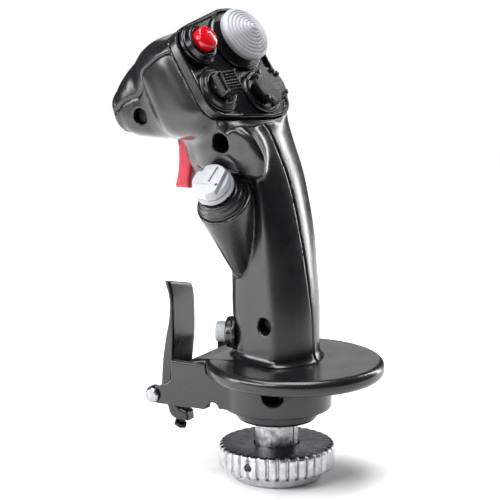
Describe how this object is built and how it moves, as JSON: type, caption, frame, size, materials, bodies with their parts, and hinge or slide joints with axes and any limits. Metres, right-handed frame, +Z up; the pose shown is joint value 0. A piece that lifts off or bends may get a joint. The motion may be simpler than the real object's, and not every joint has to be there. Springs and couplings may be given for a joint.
{
  "type": "flight joystick grip",
  "caption": "Jet-fighter style joystick grip: forward-leaning cast grip on a round hand rest, with hats, buttons, trigger, finger paddle and a knurled coupling nut.",
  "frame": {"origin": "on the coupling nut's axis, in the plane of the nut's and the connector's lower faces", "axes": "+Z up along the coupling, +Y forward (trigger and paddle side), -X the pilot's left"},
  "size_m": [0.0787, 0.1231, 0.1994],
  "materials": {
    "black_paint": "semi-gloss black paint over cast metal",
    "black_plastic": "satin moulded black",
    "pale_plastic": "satin moulded pale grey",
    "red_gloss": "glossy red",
    "red_trigger": "satin red",
    "machined_aluminium": "machined, lightly worn",
    "steel": "plain steel",
    "brass_contacts": "plain brass",
    "circuit_board": "green solder mask",
    "black_rubber": "soft black rubber"
  },
  "bodies": {
    "grip": {"coupling_spigot": "machined_aluminium", "spigot_key": "steel", "spigot_locknut": "steel", "connector_insert": "black_plastic", "connector_pin_1": "brass_contacts", "connector_pin_2": "brass_contacts", "connector_pin_3": "brass_contacts", "connector_pin_4": "brass_contacts", "connector_pin_5": "brass_contacts", "base_collar": "black_paint", "base_housing": "black_paint", "base_screw_1": "steel", "base_screw_2": "steel", "base_screw_3": "steel", "base_screw_4": "steel", "hand_rest": "black_paint", "paddle_pin": "steel", "paddle_spring": "steel", "paddle_switch": "black_plastic", "left_grip_shell": "black_paint", "right_grip_shell": "black_paint", "nose_screw": "steel", "middle_screw": "steel", "lower_screw": "steel", "button_panel": "black_paint", "red_button_collar": "black_plastic", "red_button_switch": "black_plastic", "trim_bezel": "black_plastic", "trim_switch": "black_plastic", "ribbed_bezel": "black_plastic", "ribbed_switch": "black_plastic", "castle_collar": "black_plastic", "castle_switch": "black_plastic", "side_boot": "black_rubber", "side_switch": "black_plastic", "trigger_pin": "steel", "trigger_spring": "steel", "trigger_switch": "black_plastic", "side_button_flange": "black_plastic", "side_button_switch": "black_plastic", "main_board": "circuit_board", "wiring_loom": "black_rubber"},
    "washer": {"thrust_washer": "brass_contacts"},
    "nut": {"coupling_nut": "machined_aluminium"},
    "paddle": {"paddle_lever": "black_paint", "paddle_stop_screw": "steel", "paddle_stop_nut": "steel"},
    "paddle_plunger": {"paddle_switch_plunger": "steel"},
    "trigger_blade": {"trigger": "red_trigger"},
    "red_push": {"red_button": "red_gloss"},
    "side_push": {"side_button": "pale_plastic"},
    "trim_ring": {"trim_gimbal": "steel"},
    "trim_cap_body": {"trim_hat": "pale_plastic"},
    "ribbed_ring": {"ribbed_gimbal": "steel"},
    "ribbed_cap_body": {"ribbed_cap": "black_plastic"},
    "castle_ring": {"castle_gimbal": "steel"},
    "castle_cap_body": {"castle_cap": "black_plastic"},
    "side_ring": {"side_gimbal": "steel"},
    "side_cap_body": {"side_hat": "pale_plastic"}
  },
  "joints": [
    {"name": "nut_lift", "type": "slide", "parent": "grip", "child": "washer", "axis": [0, 0, 1], "range_m": [0, 0.0105]},
    {"name": "nut_turn", "type": "hinge", "parent": "washer", "child": "nut", "pos_m": [0, 0, 0.0075], "axis": [0, 0, 1], "continuous": true},
    {"name": "paddle_pull", "type": "hinge", "parent": "grip", "child": "paddle", "pos_m": [0, 0.0495, 0.034], "axis": [1, 0, 0], "range_deg": [0, 8], "stiffness_Nm_per_rad": 1.6, "springref_deg": -2.86},
    {"name": "paddle_plunger_travel", "type": "slide", "parent": "grip", "child": "paddle_plunger", "axis": [0, -1, 0], "range_m": [0, 0.0013]},
    {"name": "trigger_pull", "type": "hinge", "parent": "grip", "child": "trigger_blade", "pos_m": [0, 0.0386, 0.153], "axis": [-1, 0, 0], "range_deg": [0, 12], "stiffness_Nm_per_rad": 0.5, "springref_deg": -2.86},
    {"name": "red_button_press", "type": "slide", "parent": "grip", "child": "red_push", "axis": [0.1211, 0.8102, -0.5736], "range_m": [0, 0.002], "stiffness_N_per_m": 800, "springref_m": -0.0005},
    {"name": "side_button_press", "type": "slide", "parent": "grip", "child": "side_push", "axis": [0.3419, -0.9397, 0], "range_m": [0, 0.0015], "stiffness_N_per_m": 700, "springref_m": -0.0005},
    {"name": "trim_fore_aft", "type": "hinge", "parent": "grip", "child": "trim_ring", "pos_m": [0.00695, 0.0297, 0.18151], "axis": [0.989, -0.1478, 0], "range_deg": [-8, 8], "stiffness_Nm_per_rad": 0.12},
    {"name": "trim_left_right", "type": "hinge", "parent": "trim_ring", "child": "trim_cap_body", "pos_m": [0.00695, 0.0297, 0.18151], "axis": [0.0848, 0.5673, 0.8192], "range_deg": [-8, 8], "stiffness_Nm_per_rad": 0.12},
    {"name": "ribbed_fore_aft", "type": "hinge", "parent": "grip", "child": "ribbed_ring", "pos_m": [-0.02111, 0.02189, 0.16456], "axis": [0.989, -0.1478, 0], "range_deg": [-8, 8], "stiffness_Nm_per_rad": 0.12},
    {"name": "ribbed_left_right", "type": "hinge", "parent": "ribbed_ring", "child": "ribbed_cap_body", "pos_m": [-0.02111, 0.02189, 0.16456], "axis": [0.0848, 0.5673, 0.8192], "range_deg": [-8, 8], "stiffness_Nm_per_rad": 0.12},
    {"name": "castle_fore_aft", "type": "hinge", "parent": "grip", "child": "castle_ring", "pos_m": [0.00425, 0.01572, 0.1612], "axis": [0.989, -0.1478, 0], "range_deg": [-8, 8], "stiffness_Nm_per_rad": 0.12},
    {"name": "castle_left_right", "type": "hinge", "parent": "castle_ring", "child": "castle_cap_body", "pos_m": [0.00425, 0.01572, 0.1612], "axis": [0.0848, 0.5673, 0.8192], "range_deg": [-8, 8], "stiffness_Nm_per_rad": 0.12},
    {"name": "side_fore_aft", "type": "hinge", "parent": "grip", "child": "side_ring", "pos_m": [-0.02189, 0.01138, 0.12099], "axis": [0.0712, 0.9975, 0], "range_deg": [-8, 8], "stiffness_Nm_per_rad": 0.12},
    {"name": "side_left_right", "type": "hinge", "parent": "side_ring", "child": "side_cap_body", "pos_m": [-0.02189, 0.01138, 0.12099], "axis": [-0.7044, 0.0503, -0.708], "range_deg": [-8, 8], "stiffness_Nm_per_rad": 0.12}
  ],
  "couplings": [
    {"joint": "paddle_plunger_travel", "follows": "paddle_pull", "m_per_rad": 0.008}
  ]
}
